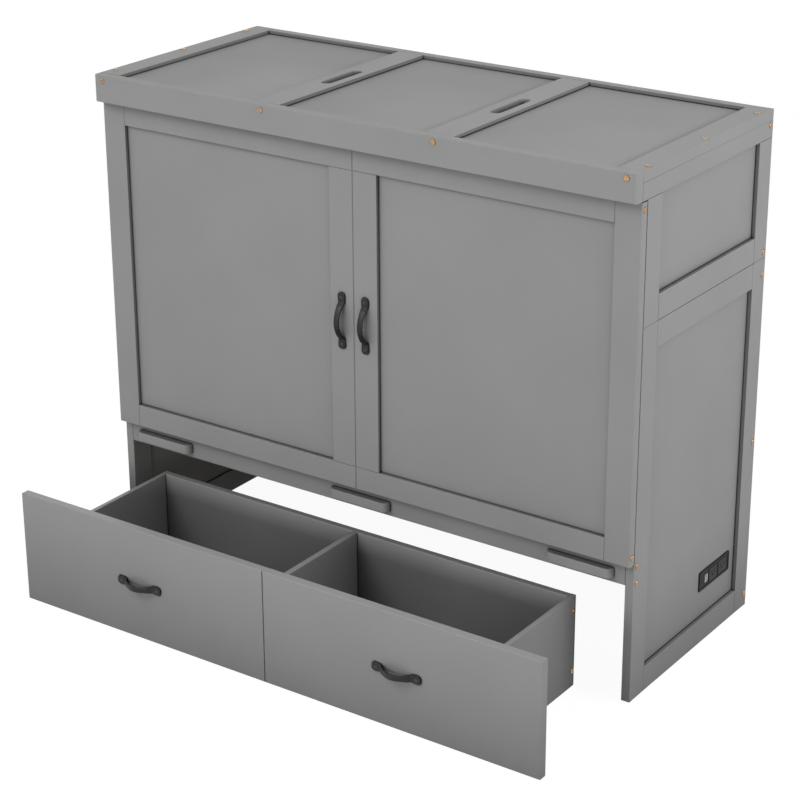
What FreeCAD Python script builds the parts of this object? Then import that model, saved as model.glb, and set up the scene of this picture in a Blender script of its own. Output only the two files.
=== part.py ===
"""Cabinet bed, closed for the day with its storage drawer pulled out.

A lower cabinet carries a slatted deck.  A fold-down front hangs on three hinges above a
fixed rail, a lift-off hood closes the top, and a wide drawer rolls out underneath.
Millimetres, +X to the right, +Y to the back, +Z up, the floor at z = 0.
"""
import FreeCAD, Part
import math
import os

os.makedirs("parts", exist_ok=True)

V = FreeCAD.Vector
AXIS_X = V(1, 0, 0)

# ---------------------------------------------------------------- overall sizes
cabinet_width = 1480.0
cabinet_depth = 625.0
cabinet_height = 1256.0
hood_seam_height = 904.8
hood_seam_gap = 0.4
glide_height = 6.0

# ---------------------------------------------------------------- boards
fascia_height = 66.0
fascia_thickness = 24.0
fascia_corner_radius = 8.0
top_board_thickness = 25.0
top_side_stile_width = 58.0
top_mid_rail_width = 73.0
top_middle_panel_width = 400.0
top_recess = 10.0
apron_thickness = 24.0
side_thickness = 22.0
side_front_stile_width = 64.0
side_rear_stile_width = 61.0
side_rail_width = 62.0
hood_side_rail_width = 60.0
side_recess = 10.5
back_thickness = 24.0
back_member_width = 62.0
back_mid_rail_height = 443.0
back_recess = 8.0
infill_thickness = 8.0
groove_depth = 7.0
groove_clearance = 0.25
edge_radius = 1.5
cut_overrun = 1.0
seam_groove_width = 3.0
seam_groove_depth = 2.0

# ---------------------------------------------------------------- hand slots and pegs
hand_slot_length = 146.0
hand_slot_width = 26.0
hand_slot_edge_radius = 3.0
peg_radius = 5.0
peg_length = 32.0
peg_clearance = 0.6

# ---------------------------------------------------------------- fixed rail, ledges, deck
rail_top = 350.0
rail_height = 55.0
rail_thickness = 24.0
ledge_length = 171.0
ledge_height = 23.5
ledge_depth = 19.0
ledge_corner_radius = 18.0
ledge_end_inset = 27.5
ledge_under_front_gap = 0.5
bearer_section = 24.0
slat_count = 13
slat_width = 72.0
slat_thickness = 12.0
slat_end_gap = 1.0

# ---------------------------------------------------------------- fold-down front
front_setback = 2.5
front_thickness = 19.5
front_to_side_gap = 1.7
front_top_gap = 2.0
rail_to_front_gap = 2.0
front_outer_stile_width = 66.0
front_centre_stile_width = 132.0
front_top_rail_width = 54.0
front_bottom_rail_width = 57.0
front_recess = 10.0
front_corner_radius = 4.0

# ---------------------------------------------------------------- hinges and catches
hinge_length = 76.0
hinge_knuckle_radius = 3.8
hinge_pin_radius = 1.5
hinge_pin_clearance = 0.05
hinge_knuckle_gap = 0.3
hinge_leaf_thickness = 1.6
hinge_leaf_width = 24.0
hinge_axis_inside_front = 1.8
hinge_axis_below_edge = 2.0
hinge_relief = 0.6
hinge_end_inset = 290.0
catch_width = 16.0
catch_height = 44.0
catch_depth = 20.0
catch_plate_thickness = 1.2
catch_plate_side_gap = 1.0
catch_below_seam = 60.0

# ---------------------------------------------------------------- drawer
drawer_pull_out = 360.2
drawer_closed_gap = 1.0
drawer_front_thickness = 22.5
drawer_under_rail_gap = 8.5
drawer_floor_gap = 2.0
drawer_box_side_gap = 117.0
drawer_box_length = 350.0
drawer_box_floor_gap = 13.0
drawer_box_below_front = 43.5
drawer_side_thickness = 12.0
drawer_back_thickness = 18.0
drawer_divider_thickness = 15.0
drawer_bottom_thickness = 8.0
drawer_bottom_groove_depth = 4.0
drawer_edge_radius = 2.0

# ---------------------------------------------------------------- casters
wheel_radius = 20.0
wheel_width = 18.0
wheel_edge_radius = 3.0
axle_radius = 3.0
axle_clearance = 0.08
caster_plate_thickness = 2.0
caster_plate_length = 46.0
caster_ear_width = 18.0
caster_side_gap = 1.0
caster_top_gap = 3.0
caster_inset_x = 42.0
caster_inset_front = 36.0
caster_inset_rear = 40.0

# ---------------------------------------------------------------- pulls
front_pull_length = 138.0
front_pull_foot_width = 20.0
drawer_pull_length = 131.0
drawer_pull_foot_width = 22.0
pull_waist_width = 14.0
pull_waist_length = 40.0
pull_corner_radius = 7.5
pull_strap_thickness = 4.5
pull_projection = 26.0
pull_foot_length = 23.0
pull_screw_radius = 3.6
pull_screw_height = 0.6
pull_screw_rounding = 0.4
pull_curve_steps = 12

# ---------------------------------------------------------------- connector screws
screw_head_radius = 6.3
screw_head_height = 1.6
screw_head_chamfer = 0.5
screw_shank_radius = 3.2
screw_length = 60.0
screw_hole_clearance = 0.15
screw_socket_across = 4.0
screw_socket_sides = 6
screw_socket_depth = 1.2
fascia_screw_end_inset = 26.0
top_screw_front = 64.0
top_screw_rear = 59.0
top_screw_edge_inset = 12.0
top_screw_length = 52.0
apron_screw_below_top = 36.5
hood_screw_above_seam = 14.0
back_screw_below_seam = 41.0
back_screw_above_bottom = 35.0
rail_screw_from_edge = 6.5
front_screw_below_top = 17.0
front_screw_above_bottom = 21.0
drawer_screw_below_top = 39.0
drawer_screw_above_bottom = 40.0
front_screw_grip = 30.0

# ---------------------------------------------------------------- power unit
power_length = 151.0
power_height = 50.0
power_corner_radius = 4.0
power_rim_proud = 3.0
power_face_sink = 1.0
power_housing_depth = 32.0
power_housing_margin = 5.0
power_from_rear = 163.5
power_centre_height = 161.0
socket_length = 38.0
socket_height = 34.0
socket_gap = 8.0
usb_from_front_end = 34.0
socket_slot_width = 2.2
socket_slot_length = 8.0
socket_slot_spacing = 12.7
socket_earth_radius = 2.4
socket_earth_drop = 4.0
usb_width = 13.0
usb_height = 19.0
usb_port_width = 4.5
usb_port_height = 6.5
usb_port_spacing = 9.0
power_detail_depth = 3.0
power_insert_depth = 6.0
gland_radius = 7.0
gland_length = 14.0
gland_bore_radius = 3.5

# ---------------------------------------------------------------- glides
glide_radius = 6.0
glide_inset = 40.0
glide_from_inner_face = 1.0

# ---------------------------------------------------------------- places worked out
half_width = cabinet_width / 2
side_inner = half_width - side_thickness
hood_bottom = hood_seam_height + hood_seam_gap
apron_inner = half_width - apron_thickness
top_frame_z = cabinet_height - top_board_thickness
apron_z = cabinet_height - fascia_height
top_infill_z = cabinet_height - top_recess - infill_thickness
top_stile_inner = half_width - top_side_stile_width
back_y = cabinet_depth - back_thickness

front_y = fascia_thickness + front_setback
front_back_y = front_y + front_thickness
side_y = front_back_y + front_to_side_gap
rail_bottom = rail_top - rail_height
rail_back_y = side_y + rail_thickness
front_bottom = rail_top + rail_to_front_gap
front_top = apron_z - front_top_gap
front_infill_y = front_y + front_recess
hinge_y = front_back_y - hinge_axis_inside_front
hinge_z = front_bottom - hinge_axis_below_edge
folded_underside = hinge_z - (hinge_y - front_y)
deck_top = hinge_z + hinge_axis_inside_front
bearer_top = deck_top - slat_thickness

drawer_closed_front_back = side_y - drawer_closed_gap
drawer_box_y = drawer_closed_front_back - drawer_pull_out
drawer_front_y = drawer_box_y - drawer_front_thickness
drawer_rear_y = drawer_box_y + drawer_box_length
drawer_half = side_inner - drawer_box_side_gap
drawer_inner = drawer_half - drawer_side_thickness
drawer_back_y = drawer_rear_y - drawer_back_thickness
drawer_front_top = rail_bottom - drawer_under_rail_gap
drawer_box_top = drawer_front_top - drawer_box_below_front
drawer_bottom_z = 2 * wheel_radius + caster_top_gap + caster_plate_thickness
drawer_floor_z = drawer_bottom_z + drawer_bottom_thickness

# The origin lies on the floor under the middle of the whole, drawer out.
foremost_y = drawer_front_y - pull_projection
origin_y = (foremost_y + cabinet_depth) / 2


# ---------------------------------------------------------------- small makers
def block(x0, x1, y0, y1, z0, z1):
    """A board between two corners."""
    return Part.makeBox(x1 - x0, y1 - y0, z1 - z0, V(x0, y0, z0))


def grown(box, along, across):
    """The groove for a panel: 'along' on its broad directions, 'across' on its thickness."""
    b = box.BoundBox
    spans = {"x": b.XLength, "y": b.YLength, "z": b.ZLength}
    thin = min(spans, key=spans.get)
    gx, gy, gz = [across if thin == axis else along for axis in "xyz"]
    return block(b.XMin - gx, b.XMax + gx, b.YMin - gy, b.YMax + gy, b.ZMin - gz, b.ZMax + gz)


def rod(start, direction, radius, length):
    return Part.makeCylinder(radius, length, start, direction)


def mirrored(shape):
    """The same piece on the other side of the middle plane."""
    return shape.mirror(V(0, 0, 0), V(1, 0, 0))


def pair(shape):
    return [mirrored(shape), shape]


def cut_all(pieces, cutters):
    """Cut each piece with those cutters that reach it."""
    result = []
    for piece in pieces:
        for cutter in cutters:
            if piece.BoundBox.intersect(cutter.BoundBox):
                piece = piece.cut(cutter)
        result.append(piece)
    return result


def grooved(pieces, panels):
    """Run the panels' grooves into the frame pieces around them."""
    return cut_all(pieces, [grown(panel, groove_clearance, groove_clearance) for panel in panels])


def rounded(shape, radius, chosen):
    """Round the edges for which chosen(edge middle, edge direction) is true."""
    edges = []
    for edge in shape.Edges:
        if len(edge.Vertexes) < 2:
            continue
        a, b = edge.Vertexes[0].Point, edge.Vertexes[1].Point
        if chosen((a + b) / 2, (b - a).normalize()):
            edges.append(edge)
    return shape.makeFillet(radius, edges) if edges else shape


def near(a, b):
    return abs(a - b) < 0.01


def runs(direction, axis):
    """True for an edge that lies along 'x', 'y' or 'z'."""
    return near(abs(getattr(direction, axis)), 1)


def round_ended_bar(length, width, height, centre):
    """A bar along Y with round ends, standing up from its centre."""
    r = width / 2
    half = length / 2 - r
    foot, up = V(centre.x - r, centre.y - half, centre.z), V(0, 0, 1)
    bar = Part.makeBox(width, 2 * half, height, foot)
    for sign in (-1, 1):
        bar = bar.fuse(rod(V(centre.x, centre.y + sign * half, centre.z), up, r, height))
    return bar.removeSplitter()


def seam_groove(face_y):
    """The fine V groove down the middle of a front face."""
    half, bottom = seam_groove_width / 2, V(0, face_y + seam_groove_depth, 0)
    corners = [V(-half, face_y, 0), V(half, face_y, 0), bottom, V(-half, face_y, 0)]
    return Part.Face(Part.makePolygon(corners)).extrude(V(0, 0, cabinet_height))


def save(node, solids):
    """Write one sub-part, moved so that the origin is under the middle of the whole."""
    pieces = []
    for solid in solids:
        piece = solid.copy()
        piece.translate(V(0, -origin_y, 0))
        pieces += piece.Solids
    Part.makeCompound(pieces).exportStep("parts/%s.step" % node)


# ---------------------------------------------------------------- connector screws
class ScrewGroup:
    """Screws with a hexagon socket, and the holes they need in the wood."""

    def __init__(self):
        self.screws = []
        self.holes = []

    def add(self, seat, inward, length=screw_length):
        outward = inward * -1
        head = rod(seat, outward, screw_head_radius, screw_head_height)
        rim = [e for e in head.Edges if near((e.CenterOfMass - seat).dot(outward), screw_head_height)]
        head = head.makeChamfer(screw_head_chamfer, rim[:1])
        shank = rod(seat, inward, screw_shank_radius, length)
        turn = FreeCAD.Rotation(V(0, 0, 1), outward)
        step = 2 * math.pi / screw_socket_sides
        radius = screw_socket_across / 2 / math.cos(step / 2)
        turns = [corner * step for corner in range(screw_socket_sides + 1)]
        corners = [V(radius * math.cos(a), radius * math.sin(a), 0) for a in turns]
        socket = Part.Face(Part.makePolygon(corners)).extrude(V(0, 0, screw_socket_depth + cut_overrun))
        socket.Placement = FreeCAD.Placement(seat + outward * (screw_head_height - screw_socket_depth), turn)
        self.screws.append(head.fuse(shank).removeSplitter().cut(socket))
        self.holes.append(rod(seat, inward, screw_shank_radius + screw_hole_clearance,
                              length + cut_overrun))


# ---------------------------------------------------------------- pulls
def smooth_edge(points, way):
    """A curve through the points that leaves and arrives along one direction."""
    curve = Part.BSplineCurve()
    curve.interpolate(Points=points, InitialTangent=way, FinalTangent=way)
    return curve.toShape()


def joined_face(edges):
    return Part.Face(Part.Wire(Part.__sortEdges__(edges)))


def pull_profile(end, span):
    """The strap seen from the side: flat feet and a smooth bow towards -Y."""
    rise = pull_projection - pull_strap_thickness
    places = [span * (i / pull_curve_steps * 2 - 1) for i in range(pull_curve_steps + 1)]
    inner = [V(x, -rise * (1 + math.cos(math.pi * x / span)) / 2, 0) for x in places]
    down = V(0, -pull_strap_thickness, 0)
    outer = [p + down for p in inner]
    left, right = V(-end, 0, 0), V(end, 0, 0)
    corners = [inner[-1], right, right + down, outer[-1]]
    edges = [Part.makeLine(a, b) for a, b in zip(corners, corners[1:])]
    corners = [outer[0], left + down, left, inner[0]]
    edges += [Part.makeLine(a, b) for a, b in zip(corners, corners[1:])]
    return joined_face(edges + [smooth_edge(inner, AXIS_X), smooth_edge(outer, AXIS_X)])


def pull_outline(end, foot_width):
    """The strap seen from the front: blunt feet with round corners and a narrow waist."""
    foot, corner = foot_width / 2, pull_corner_radius
    waist, reach = pull_waist_width / 2, pull_waist_length / 2
    shoulder = end - corner
    turn = corner * (1 - math.sqrt(0.5))
    upper = [V(-shoulder, 0, foot), V(-reach, 0, waist), V(reach, 0, waist), V(shoulder, 0, foot)]
    edges = [smooth_edge(upper, AXIS_X), smooth_edge([V(p.x, 0, -p.z) for p in upper], AXIS_X)]
    for sx in (-1, 1):
        edges.append(Part.makeLine(V(sx * end, 0, corner - foot), V(sx * end, 0, foot - corner)))
        for sz in (-1, 1):
            side, bend = V(sx * shoulder, 0, sz * foot), V(sx * (end - turn), 0, sz * (foot - turn))
            tip = V(sx * end, 0, sz * (foot - corner))
            edges.append(Part.Arc(side, bend, tip).toShape())
    return joined_face(edges)


def make_pull(length, foot_width):
    """An arched strap pull along X, its feet on y = 0, with the two screws in its feet."""
    end, span = length / 2, length / 2 - pull_foot_length
    strap = pull_profile(end, span).extrude(V(0, 0, foot_width))
    strap.translate(V(0, 0, -foot_width / 2))
    strap = strap.common(pull_outline(end, foot_width).extrude(V(0, -pull_projection, 0)))
    screws = []
    for sign in (-1, 1):
        seat = V(sign * (end - pull_foot_length / 2), -pull_strap_thickness, 0)
        head = rod(seat, V(0, -1, 0), pull_screw_radius, pull_screw_height)
        rim = [e for e in head.Edges if near(e.CenterOfMass.y, seat.y - pull_screw_height)]
        screws.append(head.makeFillet(pull_screw_rounding, rim[:1]))
    return strap, screws


def placed(shape, x, y, z, upright=False):
    copy = shape.copy()
    turn = FreeCAD.Rotation(V(0, 1, 0), 90 if upright else 0)
    copy.Placement = FreeCAD.Placement(V(x, y, z), turn)
    return copy


# ================================================================ hinges
hinge_places = [-(half_width - hinge_end_inset), 0.0, half_width - hinge_end_inset]
knuckle_length = (hinge_length - 2 * hinge_knuckle_gap) / 3
half_hinge = hinge_length / 2
half_knuckle = knuckle_length / 2
relief_radius = hinge_knuckle_radius + hinge_relief


def along_hinge(x0, x1, radius):
    """A round bar on the hinge line."""
    return rod(V(x0, hinge_y, hinge_z), AXIS_X, radius, x1 - x0)


hinge_pin = along_hinge(-half_hinge, half_hinge, hinge_pin_radius)
past_hinge = half_hinge + cut_overrun
pin_hole = along_hinge(-past_hinge, past_hinge, hinge_pin_radius)
running_bore = along_hinge(-past_hinge, past_hinge, hinge_pin_radius + hinge_pin_clearance)
hinge_reliefs = [along_hinge(x - past_hinge, x + past_hinge, relief_radius) for x in hinge_places]


def fixed_leaf():
    """Two outer knuckles on a plate that lies on the fixed rail."""
    clear = hinge_y + relief_radius
    top = rail_top + hinge_leaf_thickness
    leaf = block(-half_hinge, half_hinge, clear, rail_back_y, rail_top, top)
    for x0, x1 in ((-half_hinge, -half_hinge + knuckle_length), (half_hinge - knuckle_length, half_hinge)):
        leaf = leaf.fuse(block(x0, x1, hinge_y, clear, rail_top, top))
        leaf = leaf.fuse(along_hinge(x0, x1, hinge_knuckle_radius))
    return leaf.removeSplitter().cut(pin_hole)


def moving_leaf():
    """One middle knuckle on a plate that stands on the front's back face."""
    clear = hinge_z + relief_radius
    back = front_back_y + hinge_leaf_thickness
    leaf = block(-half_hinge, half_hinge, front_back_y, back, clear, clear + hinge_leaf_width)
    leaf = leaf.fuse(block(-half_knuckle, half_knuckle, front_back_y, back, hinge_z, clear))
    leaf = leaf.fuse(along_hinge(-half_knuckle, half_knuckle, hinge_knuckle_radius))
    return leaf.removeSplitter().cut(running_bore)


def shifted(shape, x):
    copy = shape.copy()
    copy.translate(V(x, 0, 0))
    return copy


save("hinge_fixed_leaves", [shifted(fixed_leaf(), x) for x in hinge_places])
save("hinge_pins", [shifted(hinge_pin, x) for x in hinge_places])
save("front_hinge_leaves", [shifted(moving_leaf(), x) for x in hinge_places])

# ================================================================ the lower cabinet
cabinet_screws = ScrewGroup()
screw_back_y = back_y + back_thickness / 2
screw_rail_y = side_y + rail_thickness / 2
for sign in (-1, 1):
    inward = V(-sign, 0, 0)
    for z in (rail_bottom + rail_screw_from_edge, rail_top - rail_screw_from_edge):
        cabinet_screws.add(V(sign * half_width, screw_rail_y, z), inward)
    for z in (glide_height + back_screw_above_bottom, back_mid_rail_height,
              hood_seam_height - back_screw_below_seam):
        cabinet_screws.add(V(sign * half_width, screw_back_y, z), inward)

stile_front_y1 = side_y + side_front_stile_width
stile_rear_y0 = cabinet_depth - side_rear_stile_width
side_panel_x1 = half_width - side_recess
side_panel_x0 = side_panel_x1 - infill_thickness
side_bottom = glide_height


def side_infill(z0, z1):
    """A thin panel on the right, reaching into the grooves of the members around it."""
    return block(side_panel_x0, side_panel_x1, stile_front_y1 - groove_depth,
                 stile_rear_y0 + groove_depth, z0 - groove_depth, z1 + groove_depth)


peg_places = [
    V(sign * (half_width - side_thickness / 2), y, 0)
    for sign in (-1, 1)
    for y in (side_y + side_front_stile_width / 2, cabinet_depth - side_rear_stile_width / 2)
]


def peg_group(radius, z0, z1):
    return [rod(V(p.x, p.y, z0), V(0, 0, 1), radius, z1 - z0) for p in peg_places]


front_stile = block(side_inner, half_width, side_y, stile_front_y1, side_bottom, hood_seam_height)
front_stile = rounded(front_stile, edge_radius,
                      lambda m, d: near(m.y, side_y) and runs(d, "z"))
rear_stile = block(side_inner, half_width, stile_rear_y0, cabinet_depth, side_bottom, hood_seam_height)
rear_stile = rounded(rear_stile, edge_radius,
                     lambda m, d: near(m.y, cabinet_depth) and runs(d, "z"))
side_rails = [
    block(side_inner, half_width, stile_front_y1, stile_rear_y0, side_bottom, side_bottom + side_rail_width),
    block(side_inner, half_width, stile_front_y1, stile_rear_y0,
          hood_seam_height - side_rail_width, hood_seam_height),
]
right_infill = side_infill(side_bottom + side_rail_width, hood_seam_height - side_rail_width)
pegs = peg_group(peg_radius, hood_seam_height - peg_length / 2, hood_seam_height + peg_length / 2)

front_stile, rear_stile = grooved([front_stile, rear_stile], [right_infill])
side_rails = grooved(side_rails, [right_infill])
save("side_front_stiles", cut_all(pair(front_stile), cabinet_screws.holes + pegs))
save("side_rear_stiles", cut_all(pair(rear_stile), cabinet_screws.holes + pegs))
save("side_rails", [s for rail in side_rails for s in pair(rail)])
save("side_panel_left", [mirrored(right_infill)])
save("locating_pegs", pegs)

# ---- back frame
back_panel_y0 = cabinet_depth - back_recess - infill_thickness
back_panel_y1 = cabinet_depth - back_recess


def back_member_columns(inner):
    """The x ranges of the end and middle uprights, and of the openings between them."""
    half = back_member_width / 2
    uprights = [(-inner, -inner + back_member_width), (-half, half), (inner - back_member_width, inner)]
    openings = [(uprights[0][1], uprights[1][0]), (uprights[1][1], uprights[2][0])]
    return uprights, openings


def back_row(inner, z0, z1):
    """Uprights and thin panels of one row of the back."""
    uprights, openings = back_member_columns(inner)
    stiles = [block(x0, x1, back_y, cabinet_depth, z0, z1) for x0, x1 in uprights]
    panels = [block(x0 - groove_depth, x1 + groove_depth, back_panel_y0, back_panel_y1,
                    z0 - groove_depth, z1 + groove_depth) for x0, x1 in openings]
    return stiles, panels


half_member = back_member_width / 2
back_rail_spans = [
    (side_bottom, side_bottom + back_member_width),
    (back_mid_rail_height - half_member, back_mid_rail_height + half_member),
    (hood_seam_height - back_member_width, hood_seam_height),
]
back_rails = [block(-side_inner, side_inner, back_y, cabinet_depth, z0, z1) for z0, z1 in back_rail_spans]
back_stiles, back_panels = [], []
for lower, upper in zip(back_rail_spans, back_rail_spans[1:]):
    stiles, panels = back_row(side_inner, lower[1], upper[0])
    back_stiles += stiles
    back_panels += panels
save("back_rails", cut_all(grooved(back_rails, back_panels), cabinet_screws.holes))
save("back_stiles", cut_all(grooved(back_stiles, back_panels), cabinet_screws.holes))
save("back_panels", back_panels)


# ---- fixed rail and the ledge blocks that carry the folded front
ledge_x = side_inner - ledge_end_inset - ledge_length / 2
ledge_top = folded_underside - ledge_under_front_gap


def ledge_block(x):
    """A block with two large round corners away from the rail that carries it."""
    half, free = ledge_length / 2, side_y - ledge_depth
    body = block(x - half, x + half, free, side_y, ledge_top - ledge_height, ledge_top)
    body = rounded(body, ledge_corner_radius, lambda m, d: near(m.y, free) and runs(d, "z"))
    level = [e for e in body.Edges if near(e.BoundBox.ZLength, 0) and e.CenterOfMass.y < side_y - edge_radius]
    return body.makeFillet(edge_radius, [e for e in level if abs(e.CenterOfMass.x - x) < half])


front_rail = block(-side_inner, side_inner, side_y, rail_back_y, rail_bottom, rail_top)
save("front_rail", cut_all([front_rail], cabinet_screws.holes + hinge_reliefs))
save("rail_ledges", [ledge_block(x) for x in (-ledge_x, 0, ledge_x)])

# ---- deck
bearers = [
    block(-side_inner, side_inner, rail_back_y, rail_back_y + bearer_section,
          bearer_top - bearer_section, bearer_top),
    block(-side_inner, side_inner, back_y - bearer_section, back_y, bearer_top - bearer_section, bearer_top),
]
save("deck_bearers", bearers)
slat_gap = (2 * side_inner - slat_count * slat_width) / (slat_count + 1)
slats = []
for i in range(slat_count):
    x0 = -side_inner + slat_gap + i * (slat_width + slat_gap)
    slat = block(x0, x0 + slat_width, rail_back_y + slat_end_gap, back_y - slat_end_gap, bearer_top, deck_top)
    slats.append(rounded(slat, edge_radius, lambda m, d: near(m.z, deck_top) and runs(d, "y")))
save("deck_slats", slats)
save("cabinet_screws", cabinet_screws.screws)

# ---- glides under the sides
glide_places = [side_y + glide_inset, (side_y + cabinet_depth) / 2, cabinet_depth - glide_inset]
glide_x = side_inner + glide_from_inner_face + glide_radius
save("glides", [rod(V(sign * glide_x, y, 0), V(0, 0, 1), glide_radius, glide_height)
                for sign in (-1, 1) for y in glide_places])

# ---- magnetic catches behind the front, and their plates
catch_z = hood_seam_height - catch_below_seam - catch_height
catch = block(side_inner - catch_width, side_inner, side_y, side_y + catch_depth,
              catch_z, catch_z + catch_height)
catch = rounded(catch, edge_radius, lambda m, d: near(m.x, side_inner - catch_width) and runs(d, "z"))
save("panel_catches", pair(catch))
catch_plate = block(side_inner - catch_width, side_inner - catch_plate_side_gap, front_back_y,
                    front_back_y + catch_plate_thickness, catch_z, catch_z + catch_height)
save("catch_plates", pair(catch_plate))

# ================================================================ the fold-down front
front_screws = ScrewGroup()
front_screw_y = (front_y + front_back_y) / 2
for sign in (-1, 1):
    for z in (front_bottom + front_screw_above_bottom, front_top - front_screw_below_top):
        front_screws.add(V(sign * half_width, front_screw_y, z), V(-sign, 0, 0),
                         front_outer_stile_width + front_screw_grip)

front_outer_inner = half_width - front_outer_stile_width
half_centre_stile = front_centre_stile_width / 2
front_rail_z = (front_bottom + front_bottom_rail_width, front_top - front_top_rail_width)
outer_stile = block(front_outer_inner, half_width, front_y, front_back_y, front_bottom, front_top)
outer_stile = rounded(outer_stile, front_corner_radius,
                      lambda m, d: near(m.x, half_width) and near(m.y, front_y) and runs(d, "z"))
centre_stile = block(-half_centre_stile, half_centre_stile, front_y, front_back_y, *front_rail_z)
front_rails = [
    block(-front_outer_inner, front_outer_inner, front_y, front_back_y, front_bottom, front_rail_z[0]),
    block(-front_outer_inner, front_outer_inner, front_y, front_back_y, front_rail_z[1], front_top),
]
front_infill = block(half_centre_stile - groove_depth, front_outer_inner + groove_depth,
                     front_infill_y, front_infill_y + infill_thickness,
                     front_rail_z[0] - groove_depth, front_rail_z[1] + groove_depth)
front_infills = pair(front_infill)
front_seam = seam_groove(front_y)
save("front_outer_stiles", cut_all(grooved(pair(outer_stile), front_infills), front_screws.holes))
save("front_centre_stile", cut_all(grooved([centre_stile], front_infills), [front_seam]))
save("front_rails", cut_all(grooved(front_rails, front_infills),
                            front_screws.holes + hinge_reliefs + [front_seam]))
save("front_panels", front_infills)
save("front_screws", front_screws.screws)

front_pull_x = half_centre_stile / 2
front_pull_z = (front_bottom + front_top) / 2
front_pull, front_pull_screws = make_pull(front_pull_length, front_pull_foot_width)
save("front_pulls", [placed(front_pull, s * front_pull_x, front_y, front_pull_z, True) for s in (-1, 1)])
save("front_pull_screws", [placed(screw, s * front_pull_x, front_y, front_pull_z, True)
                           for s in (-1, 1) for screw in front_pull_screws])

# ================================================================ the lift-off hood
hood_screws = ScrewGroup()
mid_rail_x = (top_middle_panel_width + top_mid_rail_width) / 2
fascia_screw_z = cabinet_height - top_board_thickness / 2
for x in (-half_width + fascia_screw_end_inset, -mid_rail_x, mid_rail_x, half_width - fascia_screw_end_inset):
    hood_screws.add(V(x, 0, fascia_screw_z), V(0, 1, 0))
for sign in (-1, 1):
    for y in (top_screw_front, (top_screw_front + cabinet_depth - top_screw_rear) / 2,
              cabinet_depth - top_screw_rear):
        hood_screws.add(V(sign * (half_width - top_screw_edge_inset), y, cabinet_height), V(0, 0, -1),
                        top_screw_length)
    inward = V(-sign, 0, 0)
    hood_screws.add(V(sign * half_width, screw_back_y, cabinet_height - apron_screw_below_top), inward)
    hood_screws.add(V(sign * half_width, screw_back_y, hood_bottom + hood_screw_above_seam), inward)

# ---- top frame and its three panels
top_stile = block(top_stile_inner, half_width, fascia_thickness, cabinet_depth, top_frame_z, cabinet_height)
top_stile = rounded(top_stile, edge_radius,
                    lambda m, d: near(m.x, half_width) and near(m.z, cabinet_height) and runs(d, "y"))
half_mid_rail = top_mid_rail_width / 2
mid_rail = block(mid_rail_x - half_mid_rail, mid_rail_x + half_mid_rail, fascia_thickness, back_y,
                 top_frame_z, cabinet_height)
slot = round_ended_bar(hand_slot_length, hand_slot_width, top_board_thickness + 2 * cut_overrun,
                       V(mid_rail_x, cabinet_depth / 2, top_frame_z - cut_overrun))
mid_rail = mid_rail.cut(slot)
slot_rims = [e for e in mid_rail.Edges
             if near(e.BoundBox.ZMin, cabinet_height) and near(e.BoundBox.ZMax, cabinet_height)
             and abs(e.CenterOfMass.x - mid_rail_x) <= hand_slot_width / 2 + 0.1
             and abs(e.CenterOfMass.y - cabinet_depth / 2) <= hand_slot_length / 2]
mid_rail = mid_rail.makeFillet(hand_slot_edge_radius, slot_rims)
rear_rail = block(-top_stile_inner, top_stile_inner, back_y, cabinet_depth, top_frame_z, cabinet_height)
top_openings = [
    (-top_stile_inner, -mid_rail_x - half_mid_rail),
    (-mid_rail_x + half_mid_rail, mid_rail_x - half_mid_rail),
    (mid_rail_x + half_mid_rail, top_stile_inner),
]
top_panels = [block(x0 - groove_depth, x1 + groove_depth,
                    fascia_thickness - groove_depth, back_y + groove_depth,
                    top_infill_z, top_infill_z + infill_thickness) for x0, x1 in top_openings]

fascia = block(-half_width, half_width, 0, fascia_thickness, apron_z, cabinet_height)
fascia = rounded(fascia, fascia_corner_radius, lambda m, d: near(m.y, 0) and runs(d, "z"))
fascia = rounded(fascia, edge_radius, lambda m, d: near(m.y, 0) and runs(d, "x"))

save("fascia", cut_all(grooved([fascia], top_panels), hood_screws.holes))
save("top_side_stiles", cut_all(grooved(pair(top_stile), top_panels), hood_screws.holes))
save("top_mid_rails", cut_all(grooved(pair(mid_rail), top_panels), hood_screws.holes))
save("top_rear_rail", grooved([rear_rail], top_panels))
save("top_panels", top_panels)

# ---- aprons, hood sides and hood back
hood_infill = side_infill(hood_bottom + hood_side_rail_width, apron_z)
apron = block(apron_inner, half_width, fascia_thickness, cabinet_depth, apron_z, top_frame_z)
hood_front_stile = block(side_inner, half_width, side_y, stile_front_y1, hood_bottom, apron_z)
hood_front_stile = rounded(hood_front_stile, edge_radius,
                           lambda m, d: near(m.y, side_y) and runs(d, "z"))
hood_rear_stile = block(side_inner, half_width, stile_rear_y0, cabinet_depth, hood_bottom, apron_z)
hood_rear_stile = rounded(hood_rear_stile, edge_radius,
                          lambda m, d: near(m.y, cabinet_depth) and runs(d, "z"))
hood_rail = block(side_inner, half_width, stile_front_y1, stile_rear_y0,
                  hood_bottom, hood_bottom + hood_side_rail_width)
peg_holes = peg_group(peg_radius + peg_clearance, hood_bottom - cut_overrun,
                      hood_seam_height + peg_length / 2 + 2 * peg_clearance)
rear_apron = block(-apron_inner, apron_inner, back_y, cabinet_depth, apron_z, top_frame_z)
hood_back_rail = block(-side_inner, side_inner, back_y, cabinet_depth, hood_bottom,
                       hood_bottom + back_member_width)
hood_back_stiles, hood_back_panels = back_row(side_inner, hood_bottom + back_member_width, apron_z)

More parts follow.
